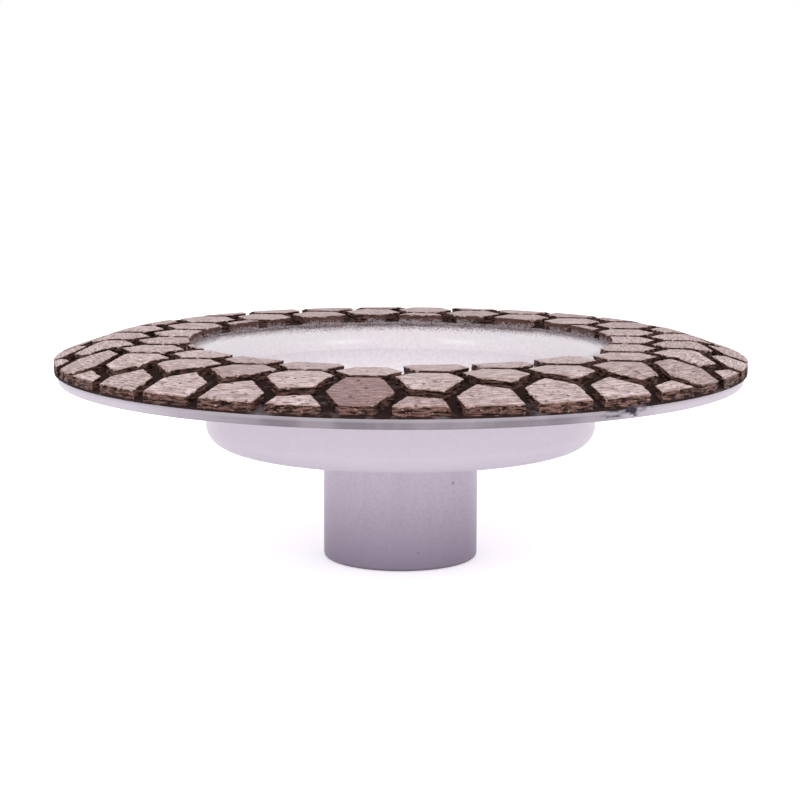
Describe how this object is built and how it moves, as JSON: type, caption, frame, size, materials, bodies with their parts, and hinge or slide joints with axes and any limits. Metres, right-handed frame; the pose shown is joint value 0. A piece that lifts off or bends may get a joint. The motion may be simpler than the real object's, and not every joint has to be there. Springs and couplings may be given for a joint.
{
  "type": "grinding wheel",
  "caption": "Shallow cup-shaped diamond grinding wheel: a honeycomb ring of diamond tiles with a sloping outer band, on a pressed steel cup with a threaded hub.",
  "frame": {"origin": "centre of the hub's lower face, on the wheel's axis of rotation", "axes": "+Z along the axis of rotation from the hub towards the grinding face; -Y is the side the reference view looks from, +X to its right"},
  "size_m": [0.1, 0.1, 0.0325],
  "materials": {
    "cup_paint": "satin silver-white paint on pressed steel",
    "hub_paint": "satin silver paint on turned steel",
    "bond_metal": "sintered metal bond, rough dark brown",
    "diamond_grit": "sintered metal bond with diamond grit, dressed flat, pitted"
  },
  "bodies": {
    "root": {"backing_plate": "cup_paint", "bond_layer": "bond_metal", "diamond_tiles_1": "diamond_grit", "diamond_tiles_10": "diamond_grit", "diamond_tiles_11": "diamond_grit", "diamond_tiles_12": "diamond_grit", "diamond_tiles_13": "diamond_grit", "diamond_tiles_14": "diamond_grit", "diamond_tiles_15": "diamond_grit", "diamond_tiles_16": "diamond_grit", "diamond_tiles_17": "diamond_grit", "diamond_tiles_18": "diamond_grit", "diamond_tiles_19": "diamond_grit", "diamond_tiles_2": "diamond_grit", "diamond_tiles_20": "diamond_grit", "diamond_tiles_21": "diamond_grit", "diamond_tiles_22": "diamond_grit", "diamond_tiles_23": "diamond_grit", "diamond_tiles_24": "diamond_grit", "diamond_tiles_25": "diamond_grit", "diamond_tiles_26": "diamond_grit", "diamond_tiles_27": "diamond_grit", "diamond_tiles_28": "diamond_grit", "diamond_tiles_29": "diamond_grit", "diamond_tiles_3": "diamond_grit", "diamond_tiles_30": "diamond_grit", "diamond_tiles_31": "diamond_grit", "diamond_tiles_32": "diamond_grit", "diamond_tiles_33": "diamond_grit", "diamond_tiles_34": "diamond_grit", "diamond_tiles_35": "diamond_grit", "diamond_tiles_36": "diamond_grit", "diamond_tiles_37": "diamond_grit", "diamond_tiles_38": "diamond_grit", "diamond_tiles_39": "diamond_grit", "diamond_tiles_4": "diamond_grit", "diamond_tiles_40": "diamond_grit", "diamond_tiles_41": "diamond_grit", "diamond_tiles_42": "diamond_grit", "diamond_tiles_43": "diamond_grit", "diamond_tiles_44": "diamond_grit", "diamond_tiles_45": "diamond_grit", "diamond_tiles_46": "diamond_grit", "diamond_tiles_47": "diamond_grit", "diamond_tiles_48": "diamond_grit", "diamond_tiles_49": "diamond_grit", "diamond_tiles_5": "diamond_grit", "diamond_tiles_50": "diamond_grit", "diamond_tiles_51": "diamond_grit", "diamond_tiles_52": "diamond_grit", "diamond_tiles_6": "diamond_grit", "diamond_tiles_7": "diamond_grit", "diamond_tiles_8": "diamond_grit", "diamond_tiles_9": "diamond_grit", "threaded_hub": "hub_paint"}
  },
  "joints": []
}
